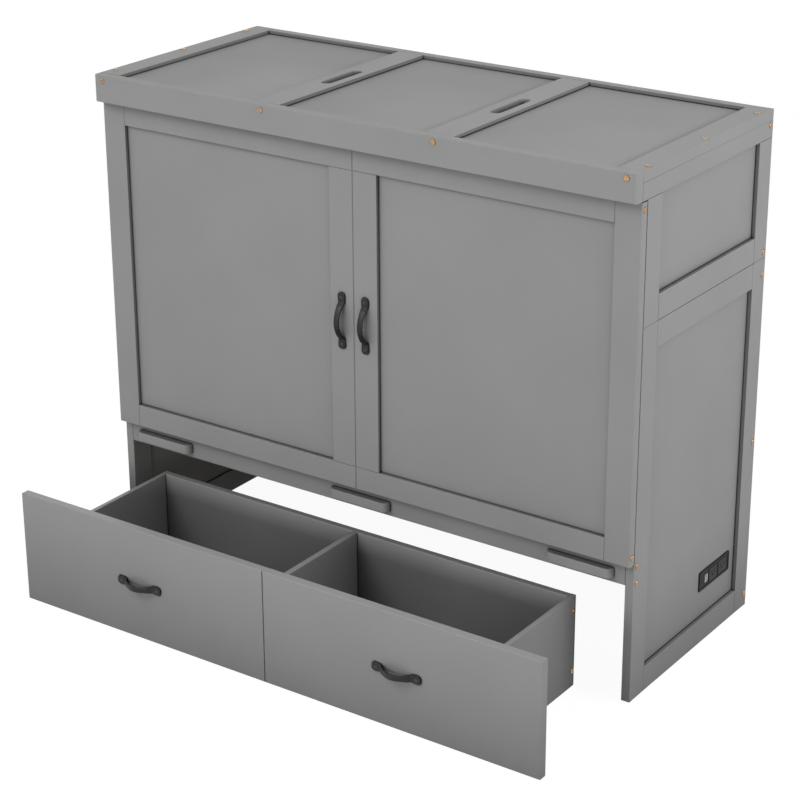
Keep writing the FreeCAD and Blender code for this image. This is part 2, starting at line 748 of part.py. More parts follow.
hood_stiles = grooved(pair(hood_front_stile) + pair(hood_rear_stile), pair(hood_infill))
save("hood_side_stiles", cut_all(hood_stiles, hood_screws.holes + peg_holes))
save("hood_side_rails", grooved(pair(hood_rail), pair(hood_infill)))
save("hood_side_panels", pair(hood_infill))
save("aprons", cut_all(grooved(pair(apron), pair(hood_infill)), hood_screws.holes))
save("rear_apron", cut_all(grooved([rear_apron], hood_back_panels), hood_screws.holes))
hood_back = grooved([hood_back_rail] + hood_back_stiles, hood_back_panels)
save("hood_back_frame", cut_all(hood_back, hood_screws.holes))
save("hood_back_panels", hood_back_panels)
save("hood_screws", hood_screws.screws)

# ================================================================ the drawer
drawer_screws = ScrewGroup()
for sign in (-1, 1):
    for z in (drawer_box_floor_gap + drawer_screw_above_bottom, drawer_box_top - drawer_screw_below_top):
        drawer_screws.add(V(sign * drawer_half, drawer_back_y + drawer_back_thickness / 2, z), V(-sign, 0, 0))

drawer_bottom = block(-drawer_inner - drawer_bottom_groove_depth, drawer_inner + drawer_bottom_groove_depth,
                      drawer_box_y - drawer_bottom_groove_depth, drawer_back_y + drawer_bottom_groove_depth,
                      drawer_bottom_z, drawer_floor_z)
drawer_front = block(-half_width, half_width, drawer_front_y, drawer_box_y,
                     drawer_floor_gap, drawer_front_top)
drawer_front = rounded(drawer_front, drawer_edge_radius, lambda m, d: near(m.y, drawer_front_y))
drawer_front = drawer_front.cut(seam_groove(drawer_front_y))
drawer_side = block(drawer_inner, drawer_half, drawer_box_y, drawer_rear_y,
                    drawer_box_floor_gap, drawer_box_top)
drawer_side = rounded(drawer_side, edge_radius, lambda m, d: near(m.z, drawer_box_top) and runs(d, "y"))
drawer_back = block(-drawer_inner, drawer_inner, drawer_back_y, drawer_rear_y,
                    drawer_box_floor_gap, drawer_box_top)
drawer_back = rounded(drawer_back, edge_radius, lambda m, d: near(m.z, drawer_box_top) and runs(d, "x"))
half_divider = drawer_divider_thickness / 2
drawer_divider = block(-half_divider, half_divider, drawer_box_y, drawer_back_y,
                       drawer_floor_z, drawer_box_top)
drawer_divider = rounded(drawer_divider, edge_radius,
                         lambda m, d: near(m.z, drawer_box_top) and runs(d, "y"))

save("drawer_front", grooved([drawer_front], [drawer_bottom]))
save("drawer_sides", cut_all(grooved(pair(drawer_side), [drawer_bottom]), drawer_screws.holes))
save("drawer_back", cut_all(grooved([drawer_back], [drawer_bottom]), drawer_screws.holes))
save("drawer_divider", [drawer_divider])
save("drawer_bottom", [drawer_bottom])
save("drawer_screws", drawer_screws.screws)
drawer_pull_x = half_width / 2
drawer_pull_z = (drawer_floor_gap + drawer_front_top) / 2
drawer_pull, drawer_pull_screws = make_pull(drawer_pull_length, drawer_pull_foot_width)
save("drawer_pulls", [placed(drawer_pull, s * drawer_pull_x, drawer_front_y, drawer_pull_z) for s in (-1, 1)])
save("drawer_pull_screws", [placed(screw, s * drawer_pull_x, drawer_front_y, drawer_pull_z)
                            for s in (-1, 1) for screw in drawer_pull_screws])

# ---- casters
caster_places = {
    "front_left": (-1, drawer_box_y + caster_inset_front),
    "front_right": (1, drawer_box_y + caster_inset_front),
    "rear_left": (-1, drawer_back_y - caster_inset_rear),
    "rear_right": (1, drawer_back_y - caster_inset_rear),
}
caster_x = drawer_inner - caster_inset_x
half_wheel = wheel_width / 2
half_fork = half_wheel + caster_side_gap + caster_plate_thickness


def caster_bracket(x, y):
    """A folded steel fork: a plate under the drawer's bottom and two ears for the axle."""
    half = caster_plate_length / 2
    bracket = block(x - half_fork, x + half_fork, y - half, y + half,
                    drawer_bottom_z - caster_plate_thickness, drawer_bottom_z)
    ear_half = caster_ear_width / 2
    for sign in (-1, 1):
        x0 = x + sign * (half_fork - caster_plate_thickness / 2) - caster_plate_thickness / 2
        ear = block(x0, x0 + caster_plate_thickness, y - ear_half, y + ear_half, wheel_radius,
                    drawer_bottom_z - caster_plate_thickness)
        tip = rod(V(x0, y, wheel_radius), AXIS_X, ear_half, caster_plate_thickness)
        bracket = bracket.fuse(ear).fuse(tip)
    hole = rod(V(x - half_fork - cut_overrun, y, wheel_radius), AXIS_X, axle_radius,
               2 * (half_fork + cut_overrun))
    return bracket.removeSplitter().cut(hole)


def wheel(x, y):
    body = rod(V(x - half_wheel, y, wheel_radius), AXIS_X, wheel_radius, wheel_width)
    rims = [e for e in body.Edges if near(e.Length, 2 * math.pi * wheel_radius)]
    body = body.makeFillet(wheel_edge_radius, rims)
    bore = rod(V(x - half_wheel - cut_overrun, y, wheel_radius), AXIS_X, axle_radius + axle_clearance,
               wheel_width + 2 * cut_overrun)
    return body.cut(bore)


brackets, axles = [], []
for name, (sign, y) in caster_places.items():
    x = sign * caster_x
    brackets.append(caster_bracket(x, y))
    axles.append(rod(V(x - half_fork, y, wheel_radius), AXIS_X, axle_radius, 2 * half_fork))
    save("wheel_" + name, [wheel(x, y)])
save("caster_brackets", brackets)
save("caster_axles", axles)

# ================================================================ the power unit
power_y = cabinet_depth - power_from_rear
power_z = power_centre_height
panel_face = side_panel_x1


def plate_across(length, height, x0, x1, y, z, radius):
    """A plate facing +X with round corners."""
    body = block(x0, x1, y - length / 2, y + length / 2, z - height / 2, z + height / 2)
    return rounded(body, radius, lambda m, d: runs(d, "x")) if radius else body


housing_length = power_length - 2 * power_housing_margin
housing_height = power_height - 2 * power_housing_margin
housing_back = panel_face - power_housing_depth
insert_face = panel_face + power_rim_proud - power_face_sink

bezel = plate_across(power_length, power_height, panel_face, panel_face + power_rim_proud,
                     power_y, power_z, power_corner_radius)
bezel = rounded(bezel, power_face_sink, lambda m, d: near(m.x, panel_face + power_rim_proud))
opening = block(panel_face - cut_overrun, panel_face + power_rim_proud + cut_overrun,
                power_y - housing_length / 2, power_y + housing_length / 2,
                power_z - housing_height / 2, power_z + housing_height / 2)
bezel = bezel.cut(opening)
housing = plate_across(housing_length, housing_height, housing_back, insert_face, power_y, power_z, 0)

# the three inserts, from the front: the USB ports, then two sockets
usb_y = power_y - power_length / 2 + usb_from_front_end
first_socket_y = usb_y + (usb_width + socket_length) / 2 + socket_gap
socket_places = [first_socket_y, first_socket_y + socket_length + socket_gap]
insert_back = insert_face - power_insert_depth
insert_front = panel_face + power_rim_proud
usb = plate_across(usb_width, usb_height, insert_back, insert_front, usb_y, power_z, 0)
inserts = [plate_across(socket_length, socket_height, insert_back, insert_front, y, power_z, 0)
           for y in socket_places]
housing = cut_all([housing], [usb] + inserts)[0]
usb_ports = [block(insert_front - power_detail_depth, insert_front + cut_overrun,
                   usb_y - usb_port_width / 2, usb_y + usb_port_width / 2,
                   z - usb_port_height / 2, z + usb_port_height / 2)
             for z in (power_z - usb_port_spacing / 2, power_z + usb_port_spacing / 2)]
usb = cut_all([usb], usb_ports)[0]


def socket_cutters(y):
    """Two blade slots and a round earth hole, all shallow."""
    x0, x1 = insert_front - power_detail_depth, insert_front + cut_overrun
    slots = [block(x0, x1, y + s * socket_slot_spacing / 2 - socket_slot_width / 2,
                   y + s * socket_slot_spacing / 2 + socket_slot_width / 2,
                   power_z, power_z + socket_slot_length) for s in (-1, 1)]
    return slots + [rod(V(x0, y, power_z - socket_earth_drop), AXIS_X, socket_earth_radius, x1 - x0)]


sockets = [cut_all([body], socket_cutters(y))[0] for body, y in zip(inserts, socket_places)]
right_panel = right_infill.cut(grown(housing, groove_clearance, groove_clearance))
gland_start = V((housing_back + side_panel_x0) / 2, power_y + housing_length / 2, power_z)
gland = rod(gland_start, V(0, 1, 0), gland_radius, gland_length)
gland = gland.makeFillet(edge_radius, [e for e in gland.Edges
                                       if near(e.CenterOfMass.y, gland_start.y + gland_length)])
gland = gland.cut(rod(gland_start, V(0, 1, 0), gland_bore_radius, gland_length + cut_overrun))
save("side_panel_right", [right_panel])
save("power_housing", [housing])
save("power_bezel", [bezel])
save("power_sockets", sockets)
save("usb_module", [usb])
save("cord_gland", [gland])
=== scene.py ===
"""Cabinet bed, closed for the day, its drawer rolled out: finishes, pulls, wheels, light and camera."""
import math

import bmesh
import bpy
from mathutils import Matrix, Vector


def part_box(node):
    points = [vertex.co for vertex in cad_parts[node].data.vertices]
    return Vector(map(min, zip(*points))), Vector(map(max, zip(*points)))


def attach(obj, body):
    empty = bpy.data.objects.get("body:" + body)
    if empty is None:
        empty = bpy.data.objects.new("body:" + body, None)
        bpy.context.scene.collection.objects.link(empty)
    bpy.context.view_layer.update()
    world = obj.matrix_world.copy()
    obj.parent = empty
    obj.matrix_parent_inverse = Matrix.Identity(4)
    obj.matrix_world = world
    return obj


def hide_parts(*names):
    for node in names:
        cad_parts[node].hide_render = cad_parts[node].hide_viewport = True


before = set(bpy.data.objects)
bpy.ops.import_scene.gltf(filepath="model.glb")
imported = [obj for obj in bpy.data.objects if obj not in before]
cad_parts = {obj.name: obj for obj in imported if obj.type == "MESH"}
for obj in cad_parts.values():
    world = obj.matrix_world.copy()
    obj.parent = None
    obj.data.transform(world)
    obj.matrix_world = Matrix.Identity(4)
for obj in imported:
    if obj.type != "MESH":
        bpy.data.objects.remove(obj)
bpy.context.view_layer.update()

MM = 0.001

# ---------------------------------------------------------------- sizes of the pieces made here
# Boards: the eased edge's width, the shortest edge that gets one, and the bend that counts as an edge.
arris = 1.3 * MM
shortest_eased_edge = 12 * MM
sharp_bend = math.radians(40)
flat_bend = math.radians(0.2)

# Strap pulls: thickness, the feet's length along the pull, and the narrow middle.
pull_strap = 4.5 * MM
pull_foot = 23 * MM
pull_waist = 14 * MM
pull_waist_length = 40 * MM
pull_corner = 8.5 * MM
pull_round = 1.5 * MM
pull_run_out = 0.15  # share of the half bow over which it flattens into the foot
drawer_pull_length = 131 * MM
strap_widths = {"front_pulls": 20 * MM, "drawer_pulls": 22 * MM}
front_panel_depth = 10 * MM  # how deep the front's panels lie behind the boards that carry the pulls

# Screws: a cross recess in a low oval head, and how far the head's rim is let in.
cross_half_width = 0.42 * MM
cross_reach = 2.1 * MM
cross_depth = 0.9 * MM
rim_let_in = 0.05 * MM
pull_screw_radius = 3.6 * MM
pull_screw_height = 0.65 * MM
face_screw_radius = 2.6 * MM
face_screw_height = 0.6 * MM
face_screw_inset = 6.5 * MM

# Caster wheels: the tyre on its hub, and the hub with its recessed web.
tyre_depth = 4.5 * MM
tyre_shoulder = 2.5 * MM
tyre_side_inset = 0.8 * MM
tread_crown = 0.15 * MM
wheel_bore = 3.08 * MM
hub_boss = 3.2 * MM
boss_slope = 0.8 * MM
web_inset = 2.6 * MM
web_end = 2.4 * MM  # how far inside the tyre's seat the web ends, and the rim starts
rim_start = 1.6 * MM
rim_inset = 0.9 * MM
moulded_edge = 0.3 * MM

# USB ports: how far apart they lie, and the tongue in each, whose root and tip lie behind the face.
usb_port_spacing = 9 * MM
tongue_half_height = 2.4 * MM
tongue_root = 3 * MM
tongue_tip = 0.5 * MM
tongue_front = 0.9 * MM
tongue_rear = 0.5 * MM
tongue_edge = 0.2 * MM

# ---------------------------------------------------------------- light, floor and camera
sky_strength = 0.12
floor_reach = 30.0
floor_grey = 0.48
floor_glow = 0.95
floor_trace = 0.1
# name: place, width and height in metres, watts; each faces the middle of the cabinet
lamps = {
    "Level front lamp": ((0.8, -5.5, 1.35), 3.0, 0.8, 120.0),
    "High front lamp": ((-2.0, -4.2, 4.8), 3.5, 2.5, 146.0),
    "Upper side lamp": ((3.6, 0.4, 2.4), 2.4, 1.0, 87.0),
    "Top lamp": ((0.0, 0.5, 6.0), 2.0, 1.5, 50.0),
    "Rear lamp": ((-6.5, 8.5, 1.0), 5.0, 1.4, 560.0),
}
lamp_target = Vector((0, 0.2, 0.9))
camera_place = Vector((2.81175, -3.93248, 2.53907))
camera_back = Vector((0.524352, -0.769746, 0.364069))
camera_roll = math.radians(0.0023)
camera_sensor = 36  # the sensor's width and the lens's length in millimetres
camera_lens = 99.258
camera_shift = (-0.0344, -0.05232)


# ---------------------------------------------------------------- colours and nodes
def paint(hex_code):
    """An sRGB colour such as #909190 as linear red, green, blue and alpha."""
    parts = [int(hex_code[i:i + 2], 16) / 255 for i in (1, 3, 5)]
    return (*[c / 12.92 if c <= 0.04045 else ((c + 0.055) / 1.055) ** 2.4 for c in parts], 1.0)


def add(tree, kind, inputs=(), **settings):
    """Add a node, set its options, and set or link its inputs."""
    made = tree.nodes.new(kind)
    for name, value in settings.items():
        setattr(made, name, value)
    for name, value in dict(inputs).items():
        if isinstance(value, bpy.types.NodeSocket):
            tree.links.new(value, made.inputs[name])
        else:
            made.inputs[name].default_value = value
    return made


def new_finish(name):
    """An empty material, its node tree, its shader and the place on the piece."""
    finish = bpy.data.materials.new(name)
    finish.use_nodes = True
    tree = finish.node_tree
    tree.nodes.clear()
    shader = add(tree, "ShaderNodeBsdfPrincipled")
    add(tree, "ShaderNodeOutputMaterial", {"Surface": shader.outputs["BSDF"]})
    place = add(tree, "ShaderNodeTexCoord").outputs["Object"]
    return finish, tree, shader, place


def two_tones(tree, amount, dark, light, low=0.35, high=0.65):
    """Blend two colours by a pattern's value between low and high."""
    ramp = add(tree, "ShaderNodeValToRGB", {"Fac": amount})
    for stop, spot, colour in zip(ramp.color_ramp.elements, (low, high), (dark, light)):
        stop.position = spot
        stop.color = colour
    return ramp.outputs["Color"]


def painted_board(name, along):
    """Matt grey lacquer sprayed on solid-wood boards: an even mid grey with a soft, broad shine, the
    boards' grain just telegraphing through the film along their length, and painted shade darkening the
    colour in joints, inner corners and deep hollows."""
    finish, tree, shader, place = new_finish(name)
    # grain lines 3.5 mm apart, drawn coarser than the real 1 mm ones so that they show at all
    across, length = 1 / (3.5 * MM), 1 / (260 * MM)
    scale = [length if axis == along else across for axis in "xyz"]
    grain_place = add(tree, "ShaderNodeMapping", {"Vector": place, "Scale": scale})
    grain = add(tree, "ShaderNodeTexNoise", {"Vector": grain_place.outputs["Vector"], "Scale": 1.0,
                                             "Detail": 3.0, "Roughness": 0.55})
    # clouding of the sprayed film, about 180 mm across
    cloud = add(tree, "ShaderNodeTexNoise", {"Vector": place, "Scale": 1 / (180 * MM), "Detail": 2.0})
    # orange peel of a sprayed film, 1.5 mm
    peel = add(tree, "ShaderNodeTexNoise", {"Vector": place, "Scale": 1 / (1.5 * MM), "Detail": 1.0})
    both = add(tree, "ShaderNodeMath", {0: grain.outputs["Fac"], 1: 0.35, 2: cloud.outputs["Fac"]},
               operation="MULTIPLY_ADD")
    colour = two_tones(tree, both.outputs["Value"], paint("#909190"), paint("#949594"), 0.45, 0.9)
    # painted shade: the colour is darkened by occlusion in joints and inner corners, 5 mm wide, and in
    # hollows and deep insides, 300 mm wide
    for reach, shut, clear, least in ((5 * MM, 0.5, 0.9, 0.1), (300 * MM, 0.0, 1.0, 0.3)):
        corner = add(tree, "ShaderNodeAmbientOcclusion", {"Distance": reach}, samples=8)
        light_share = add(tree, "ShaderNodeMapRange", {"Value": corner.outputs["AO"], "From Min": shut,
                                                 "From Max": clear, "To Min": least})
        shaded = add(tree, "ShaderNodeVectorMath", {0: colour, "Scale": light_share.outputs["Result"]},
                    operation="SCALE")
        colour = shaded.outputs["Vector"]
    sheen = add(tree, "ShaderNodeMapRange", {"Value": grain.outputs["Fac"], "From Min": 0.3,
                                             "From Max": 0.7, "To Min": 0.50, "To Max": 0.58})
    ripple = add(tree, "ShaderNodeBump", {"Height": grain.outputs["Fac"], "Strength": 0.12,
                                          "Distance": 0.12 * MM})
    skin = add(tree, "ShaderNodeBump", {"Height": peel.outputs["Fac"], "Strength": 0.10,
                                        "Distance": 0.08 * MM, "Normal": ripple.outputs["Normal"]})
    tree.links.new(colour, shader.inputs["Base Color"])
    tree.links.new(sheen.outputs["Result"], shader.inputs["Roughness"])
    tree.links.new(skin.outputs["Normal"], shader.inputs["Normal"])
    shader.inputs["Specular IOR Level"].default_value = 0.2
    return finish


def planed_pine(name, along):
    """Planed, unpainted softwood for the deck: pale yellow with darker growth lines along it."""
    finish, tree, shader, place = new_finish(name)
    scale = [1 / (420 * MM) if axis == along else 1 / (26 * MM) for axis in "xyz"]
    stretched = add(tree, "ShaderNodeMapping", {"Vector": place, "Scale": scale})
    figure = add(tree, "ShaderNodeTexNoise", {"Vector": stretched.outputs["Vector"], "Scale": 1.0,
                                              "Detail": 2.0, "Distortion": 0.6})
    # growth rings about 3 mm apart
    rings = add(tree, "ShaderNodeMath", {0: figure.outputs["Fac"], 1: 55.0}, operation="MULTIPLY")
    wave = add(tree, "ShaderNodeMath", {0: rings.outputs["Value"]}, operation="SINE")
    line = add(tree, "ShaderNodeMapRange", {"Value": wave.outputs["Value"], "From Min": -1.0,
                                            "From Max": 1.0})
    colour = two_tones(tree, line.outputs["Result"], paint("#DDBE8C"), paint("#C79A62"), 0.35, 1.0)
    shine = add(tree, "ShaderNodeMapRange", {"Value": line.outputs["Result"], "To Min": 0.62,
                                             "To Max": 0.5})
    relief = add(tree, "ShaderNodeBump", {"Height": line.outputs["Result"], "Strength": 0.2,
                                          "Distance": 0.1 * MM})
    tree.links.new(colour, shader.inputs["Base Color"])
    tree.links.new(shine.outputs["Result"], shader.inputs["Roughness"])
    tree.links.new(relief.outputs["Normal"], shader.inputs["Normal"])
    return finish


def bare_metal(name, dark, light, grit, rough, relief, metallic=1.0, gloss=0.5):
    """A metal or plated surface: two near tones in patches of the size 'grit', in metres."""
    finish, tree, shader, place = new_finish(name)
    patches = add(tree, "ShaderNodeTexNoise", {"Vector": place, "Scale": 1 / grit, "Detail": 4.0,
                                               "Roughness": 0.6})
    fac = patches.outputs["Fac"]
    shine = add(tree, "ShaderNodeMapRange", {"Value": fac, "From Min": 0.3, "From Max": 0.7,
                                             "To Min": rough[0], "To Max": rough[1]})
    dents = add(tree, "ShaderNodeBump", {"Height": fac, "Strength": 0.25, "Distance": relief})
    tree.links.new(two_tones(tree, fac, paint(dark), paint(light)), shader.inputs["Base Color"])
    tree.links.new(shine.outputs["Result"], shader.inputs["Roughness"])
    tree.links.new(dents.outputs["Normal"], shader.inputs["Normal"])
    shader.inputs["Metallic"].default_value = metallic
    shader.inputs["Specular IOR Level"].default_value = gloss
    return finish


# Satin lacquer on solid wood, one for each way that the boards run.
grey_along = {axis: painted_board("Satin grey lacquer on wood, boards along " + axis.upper(), axis)
              for axis in "xyz"}
# Planed spruce or pine: matt, warm and pale.
pine = planed_pine("Planed softwood", "y")
pine_rail = planed_pine("Planed softwood rail", "x")
pine_peg = planed_pine("Turned softwood peg", "z")
# Cast zinc with an oil-rubbed bronze coat: nearly black, satin, slightly uneven.
bronze = bare_metal("Oil-rubbed bronze on cast zinc", "#1E1D1C", "#2F2E2C", 2.5 * MM, (0.36, 0.5),
                    0.05 * MM, metallic=0.4, gloss=0.35)
# The same coat rubbed thin by a screwdriver and by hands: a little lighter.
worn_bronze = bare_metal("Oil-rubbed bronze, rubbed thin on the screws", "#3A3836", "#55514C", 1.5 * MM,
                         (0.32, 0.45), 0.05 * MM, metallic=0.5, gloss=0.35)
# Copper plate on steel screws: warm orange with a soft shine.
copper = bare_metal("Copper-plated steel", "#98724F", "#CCA983", 2.5 * MM, (0.3, 0.42), 0.03 * MM)
# Black oxide on steel screws: blue-black, satin.
blackened_steel = bare_metal("Black-oxide steel", "#101018", "#1C1C2A", 1 * MM, (0.35, 0.45), 0.02 * MM)
# Bright zinc plate on pressed steel: pale grey, fine spangle.
zinc = bare_metal("Zinc-plated steel", "#A9ACAF", "#C6C8CA", 3 * MM, (0.3, 0.45), 0.02 * MM)
# Moulded plastics and rubber have no metal in them: a fine spark-eroded texture, about 0.3 mm,
# drawn at 0.6 mm.
black_plastic = bare_metal("Black moulded ABS", "#0B0B0C", "#121214", 0.6 * MM, (0.42, 0.55),
                           0.02 * MM, metallic=0.0, gloss=0.15)
socket_plastic = bare_metal("Dark grey moulded polycarbonate", "#1C1B1B", "#262425", 0.6 * MM,
                            (0.4, 0.5), 0.01 * MM, metallic=0.0, gloss=0.15)
pale_plastic = bare_metal("Light grey moulded polycarbonate", "#A4A9B4", "#B4B9C4", 0.6 * MM,
                          (0.35, 0.45), 0.01 * MM, metallic=0.0, gloss=0.2)
tyre_rubber = bare_metal("Grey-black solid rubber", "#232323", "#2C2C2C", 1.2 * MM, (0.65, 0.8),
                         0.05 * MM, metallic=0.0, gloss=0.2)


# ---------------------------------------------------------------- the construction's own solids
def finish_node(name, finish):
    """Give one of the construction's own solids its material."""
    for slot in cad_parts[name].material_slots:
        slot.material = finish


def pick_long_edges():
    """A step that flattens a board's shading and marks its long sharp edges for easing, and leaves
    the rims of its screw holes."""
    tree = bpy.data.node_groups.new("Long sharp edges", "GeometryNodeTree")
    for way in ("INPUT", "OUTPUT"):
        tree.interface.new_socket("Geometry", in_out=way, socket_type="NodeSocketGeometry")
    board = add(tree, "NodeGroupInput").outputs["Geometry"]
    ends = add(tree, "GeometryNodeInputMeshEdgeVertices").outputs
    length = add(tree, "ShaderNodeVectorMath", {0: ends["Position 1"], 1: ends["Position 2"]},
                 operation="DISTANCE")
    long = add(tree, "ShaderNodeMath", {0: length.outputs["Value"], 1: shortest_eased_edge},
               operation="GREATER_THAN")
    bend = add(tree, "GeometryNodeInputMeshEdgeAngle").outputs["Unsigned Angle"]
    sharp = add(tree, "ShaderNodeMath", {0: bend, 1: sharp_bend}, operation="GREATER_THAN")
    both = add(tree, "ShaderNodeMath", {0: long.outputs["Value"], 1: sharp.outputs["Value"]},
               operation="MULTIPLY")
    plain = add(tree, "GeometryNodeRemoveAttribute", {"Geometry": board, "Name": "custom_normal"})
    flat = add(tree, "GeometryNodeSetShadeSmooth", {"Geometry": plain.outputs["Geometry"],
                                                    "Shade Smooth": False})
    marked = add(tree, "GeometryNodeStoreNamedAttribute", {"Geometry": flat.outputs["Geometry"]},
                 data_type="FLOAT", domain="EDGE")
    marked.inputs["Name"].default_value = "bevel_weight_edge"
    tree.links.new(both.outputs["Value"], marked.inputs["Value"])
    add(tree, "NodeGroupOutput", {"Geometry": marked.outputs["Geometry"]})
    return tree


long_edges = pick_long_edges()


def ease_edges(name):
    """Break the sharp edges of a node's boards, so that their joints show as fine lines."""
    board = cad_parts[name]
    weld = board.modifiers.new("Join faces", "WELD")
    weld.merge_threshold = 0.001 * MM
    flat = board.modifiers.new("One face a side", "DECIMATE")
    flat.decimate_type = "DISSOLVE"
    flat.angle_limit = flat_bend
    board.modifiers.new("Long edges", "NODES").node_group = long_edges
    ease = board.modifiers.new("Eased edges", "BEVEL")
    ease.width = arris
    ease.segments = 2
    ease.limit_method = "WEIGHT"
    ease.use_clamp_overlap = False


boards_along = {
    "x": ["fascia", "top_rear_rail", "front_rails", "front_rail", "rail_ledges", "rear_apron",
          "back_rails", "drawer_front", "drawer_back", "drawer_bottom"],
    "y": ["top_side_stiles", "top_mid_rails", "top_panels", "aprons", "hood_side_rails", "side_rails",
          "drawer_sides", "drawer_divider"],
    "z": ["side_front_stiles", "side_rear_stiles", "side_panel_left", "side_panel_right", "back_stiles",
          "back_panels", "front_outer_stiles", "front_centre_stile", "front_panels", "hood_side_stiles",
          "hood_side_panels", "hood_back_frame", "hood_back_panels"],
}
for axis, names in boards_along.items():
    for name in names:
        finish_node(name, grey_along[axis])
        ease_edges(name)

for name, finish in {
    "deck_slats": pine, "deck_bearers": pine_rail, "locating_pegs": pine_peg,
    "cabinet_screws": copper, "hood_screws": copper, "front_screws": copper, "drawer_screws": copper,
    "hinge_fixed_leaves": zinc, "hinge_pins": zinc, "front_hinge_leaves": zinc, "catch_plates": zinc,
    "caster_brackets": zinc, "caster_axles": zinc,
    "power_housing": black_plastic, "power_bezel": black_plastic, "cord_gland": black_plastic,
    "glides": black_plastic, "panel_catches": black_plastic,
    "power_sockets": socket_plastic, "usb_module": pale_plastic,
}.items():
    finish_node(name, finish)


# ---------------------------------------------------------------- making pieces
def piece_from(name, form, body, finishes, turn=Matrix.Identity(4)):
    """Turn a bmesh into a piece that rides on a body."""
    form.transform(turn)
    bmesh.ops.recalc_face_normals(form, faces=form.faces)
    mesh = bpy.data.meshes.new(name)
    form.to_mesh(mesh)
    form.free()
    for finish in finishes:
        mesh.materials.append(finish)
    mesh.shade_smooth()
    piece = bpy.data.objects.new(name, mesh)
    bpy.context.scene.collection.objects.link(piece)
    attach(piece, body)
    return piece


def skin_rings(form, rings, closed=True):
    """Faces between successive rings of points and, where it is closed, a lid on each end."""
    rows = [[form.verts.new(p) for p in ring] for ring in rings]
    count = len(rows[0])
    for a, b in zip(rows, rows[1:]):
        for i in range(count):
            j = (i + 1) % count
            form.faces.new((a[i], a[j], b[j], b[i]))
    if closed:
        form.faces.new(rows[0][::-1])
        form.faces.new(rows[-1])


def smooth_step(t):
    """Rise from 0 to 1 with a soft start and end."""
    t = min(max(t, 0.0), 1.0)
    return t * t * (3 - 2 * t)


def bow(t):
    """How far the pull stands off, from 1 in the middle to 0 at the feet: a broad arc."""
    return (1 - t * t) * smooth_step((1 - t) / pull_run_out)


def strap_ring(u, half, low, high):
    """One section of the pull: a bar with rounded outer edges at u along it."""
    r = min(pull_round, half * 0.6, (high - low) * 0.45)
    inner = r * 0.5
    ring = []
    for cv, cw, radius, start in ((half - r, high - r, r, 0), (-half + r, high - r, r, 90),
                                  (-half + inner, low + inner, inner, 180),
                                  (half - inner, low + inner, inner, 270)):
        for step in range(5):
            a = math.radians(start + step * 22.5)
            ring.append(Vector((u, cv + radius * math.cos(a), cw + radius * math.sin(a))))
    return ring


def strap_pull(length, foot_width, projection):
    """A cast strap pull along X on the plane Z = 0: blunt feet, narrow waist, smooth bow."""
    end, foot = length / 2, foot_width / 2
    span, rise = end - pull_foot, projection - pull_strap
    waist, reach, shoulder = pull_waist / 2, pull_waist_length / 2, end - pull_corner
    edge = pull_round
    # sections lie close together round the blunt end, then along the foot, then along the bow
    spots = [end - edge * (1 - math.cos(math.radians(a))) for a in (0, 30, 60, 90)]
    spots += [end - edge - (end - edge - span) * i / 9 for i in range(1, 10)]
    spots += [span * (1 - i / 28) for i in range(1, 29)]
    spots += [-s for s in reversed(spots[:-1])]
    rings = []
    for u in spots:
        d = end - abs(u)
        half = waist + (foot - waist) * smooth_step((abs(u) - reach) / (shoulder - reach))
        if d < pull_corner:
            half = foot - pull_corner + math.sqrt(pull_corner ** 2 - (pull_corner - d) ** 2)
        low = rise * bow(min(abs(u) / span, 1.0))
        drop = edge - math.sqrt(edge ** 2 - (edge - d) ** 2) if d < edge else 0.0
        rings.append(strap_ring(u, half, low, low + pull_strap - drop))
    form = bmesh.new()
    skin_rings(form, rings)
    return form


def cross_head(form, centre, radius, height):
    """A low oval screw head with a cross recess, facing +Z: its rim is half as high as its crown."""
    circles, points = 26, 64
    rings = []
    for i in range(circles):
        r = radius * (1 - i / circles)
        ring = []
        for k in range(points):
            a = 2 * math.pi * k / points
            x, y = r * math.cos(a), r * math.sin(a)
            z = height * math.sqrt(max(0.0, 1 - (r / radius) ** 2) * 0.75 + 0.25 * (r < radius))
            slot = min(abs(x), abs(y)) < cross_half_width and max(abs(x), abs(y)) < cross_reach
            ring.append(centre + Vector((x, y, z - (cross_depth if slot else 0.0))))
        rings.append(ring)
    skin_rings(form, rings)


def place_pulls(node, screws_node, body, face, upright):
    """The visible pulls in the place of a pair of plain ones, with their screws."""
    low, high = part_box(node)
    projection = face - low.y
    length = high.z - low.z if upright else drawer_pull_length
    foot_width = strap_widths[node]
    middle_z = (low.z + high.z) / 2
    for side, name in ((-1, "left"), (1, "right")):
        x = side * (high.x - (foot_width if upright else length) / 2)
        along = Vector((0, 0, -1)) if upright else Vector((1, 0, 0))
        out = Vector((0, -1, 0))
        turn = Matrix((along, out.cross(along), out)).transposed().to_4x4()
        turn.translation = Vector((x, face, middle_z))
        form = strap_pull(length, foot_width, projection)
        pull = piece_from(node + "_" + name, form, body, [bronze], turn)
        heads = bmesh.new()
        for end in (-1, 1):
            seat = Vector((end * (length - pull_foot) / 2, 0, pull_strap - rim_let_in))
            cross_head(heads, seat, pull_screw_radius, pull_screw_height)
        screws = piece_from(screws_node + "_" + name, heads, body, [worn_bronze], turn)
        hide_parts(node)
        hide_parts(screws_node)


front_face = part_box("front_panels")[0].y - front_panel_depth
drawer_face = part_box("drawer_front")[0].y
place_pulls("front_pulls", "front_pull_screws", "front_panel", front_face, True)
place_pulls("drawer_pulls", "drawer_pull_screws", "drawer", drawer_face, False)


